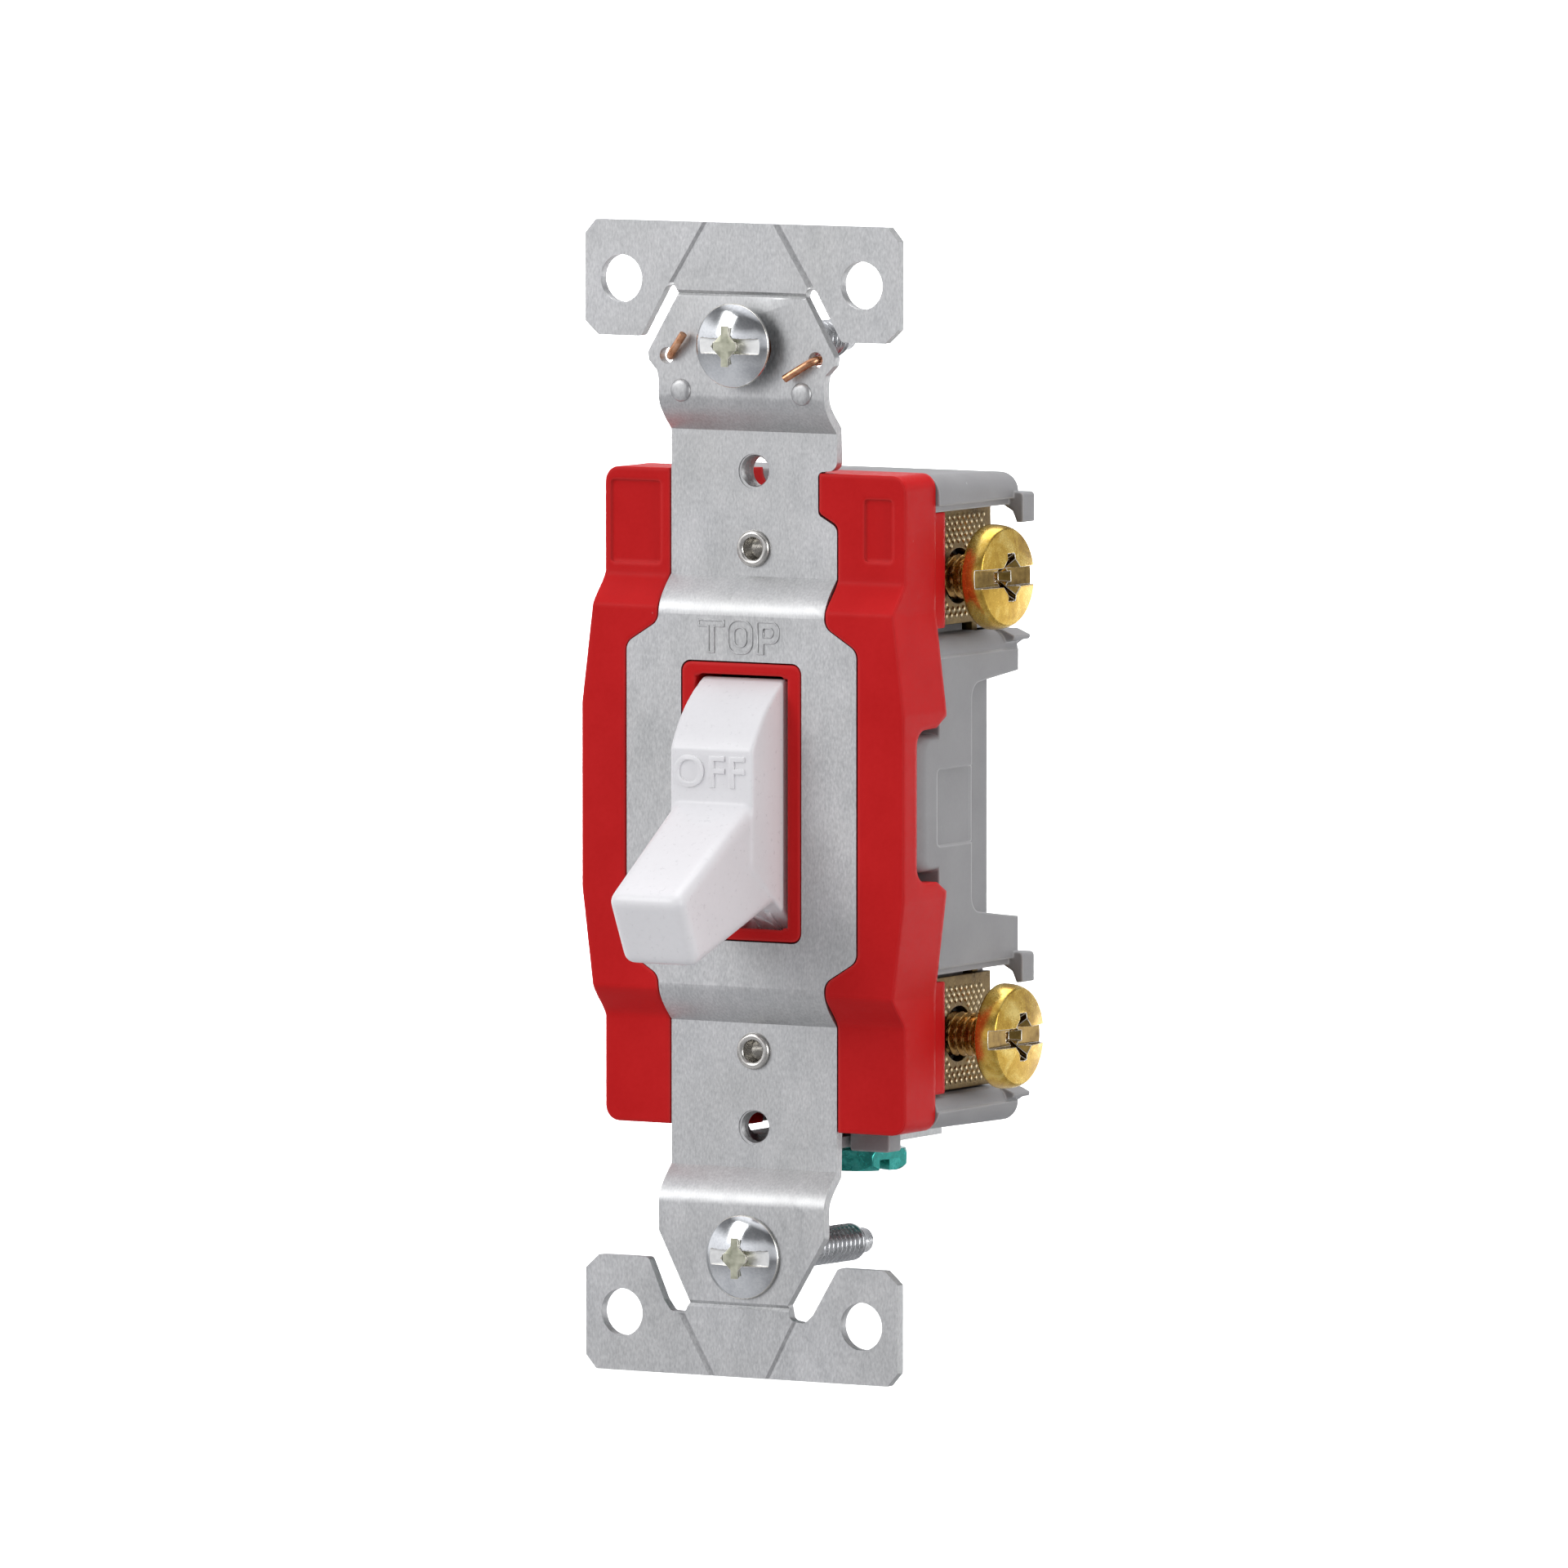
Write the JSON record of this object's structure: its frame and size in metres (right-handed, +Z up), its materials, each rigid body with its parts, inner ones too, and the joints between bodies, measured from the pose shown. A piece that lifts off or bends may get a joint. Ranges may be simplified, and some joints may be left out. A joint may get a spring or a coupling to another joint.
{
  "type": "toggle wall switch",
  "caption": "Single-pole toggle wall switch: steel strap with break-off ears, moulded body, side screw terminals, ground screw and a white toggle that tips up and down.",
  "frame": {"origin": "middle of the two box-screw positions, in the plane of the back faces of the plaster ears, which rest on the wall or box", "axes": "+X to the right seen from the room, +Y into the wall, +Z up along the strap"},
  "size_m": [0.0381, 0.0409, 0.106],
  "materials": {
    "zinc_steel": "fine-grained galvanized sheet",
    "bright_zinc": "bright zinc plate",
    "rivet_steel": "nickel plate",
    "red_thermoset": "satin moulded thermoset",
    "grey_thermoset": "satin moulded thermoset",
    "white_toggle": "semi-gloss moulded thermoplastic",
    "terminal_brass": "knurled sheet brass",
    "brass_screw": "bright brass plate",
    "copper_wire": "bare copper wire",
    "green_screw": "clear green lacquer over zinc",
    "silver_contact": "silver alloy",
    "spring_steel": "bright spring wire",
    "natural_nylon": "natural nylon",
    "fibre": "vulcanized fibre sheet",
    "black_elastomer": "matt elastomer"
  },
  "bodies": {
    "switch_frame": {"mounting_strap": "zinc_steel", "front_cover": "red_thermoset", "rear_housing": "grey_thermoset", "terminal_plate_upper": "terminal_brass", "terminal_plate_lower": "terminal_brass", "stationary_contact": "silver_contact", "screw_retainer_top": "fibre", "screw_retainer_bottom": "fibre", "ground_bracket": "zinc_steel", "auto_ground_clip": "copper_wire", "rivet_upper": "rivet_steel", "rivet_lower": "rivet_steel", "silencer_pad": "black_elastomer"},
    "toggle": {"toggle_lever": "white_toggle", "toggle_spring": "spring_steel", "spring_plunger": "natural_nylon"},
    "rocker": {"contact_arm": "terminal_brass", "moving_contact": "silver_contact"},
    "upper_terminal_screw": {"terminal_screw_upper": "brass_screw"},
    "lower_terminal_screw": {"terminal_screw_lower": "brass_screw"},
    "top_box_screw": {"mounting_screw_top": "bright_zinc"},
    "bottom_box_screw": {"mounting_screw_bottom": "bright_zinc"},
    "grounding_screw": {"ground_screw": "green_screw"}
  },
  "joints": [
    {"name": "toggle_tilt", "type": "hinge", "parent": "switch_frame", "child": "toggle", "pos_m": [0, 0.0052, 0], "axis": [-1, 0, 0], "range_deg": [0, 52]},
    {"name": "rocker_tilt", "type": "hinge", "parent": "switch_frame", "child": "rocker", "pos_m": [0, 0.01555, 0], "axis": [1, 0, 0], "range_deg": [0, 10]},
    {"name": "upper_terminal_travel", "type": "slide", "parent": "switch_frame", "child": "upper_terminal_screw", "axis": [1, 0, 0], "range_m": [-0.0028, 0.0015]},
    {"name": "lower_terminal_travel", "type": "slide", "parent": "switch_frame", "child": "lower_terminal_screw", "axis": [1, 0, 0], "range_m": [-0.004, 0.0005]},
    {"name": "top_box_screw_travel", "type": "slide", "parent": "switch_frame", "child": "top_box_screw", "axis": [0, -1, 0], "range_m": [-0.0013, 0.008]},
    {"name": "bottom_box_screw_travel", "type": "slide", "parent": "switch_frame", "child": "bottom_box_screw", "axis": [0, -1, 0], "range_m": [0, 0.009]},
    {"name": "ground_screw_travel", "type": "slide", "parent": "switch_frame", "child": "grounding_screw", "axis": [0, 0, -1], "range_m": [-0.0007, 0.002]}
  ],
  "couplings": [
    {"joint": "rocker_tilt", "follows": "toggle_tilt", "ratio": 0.1923}
  ]
}
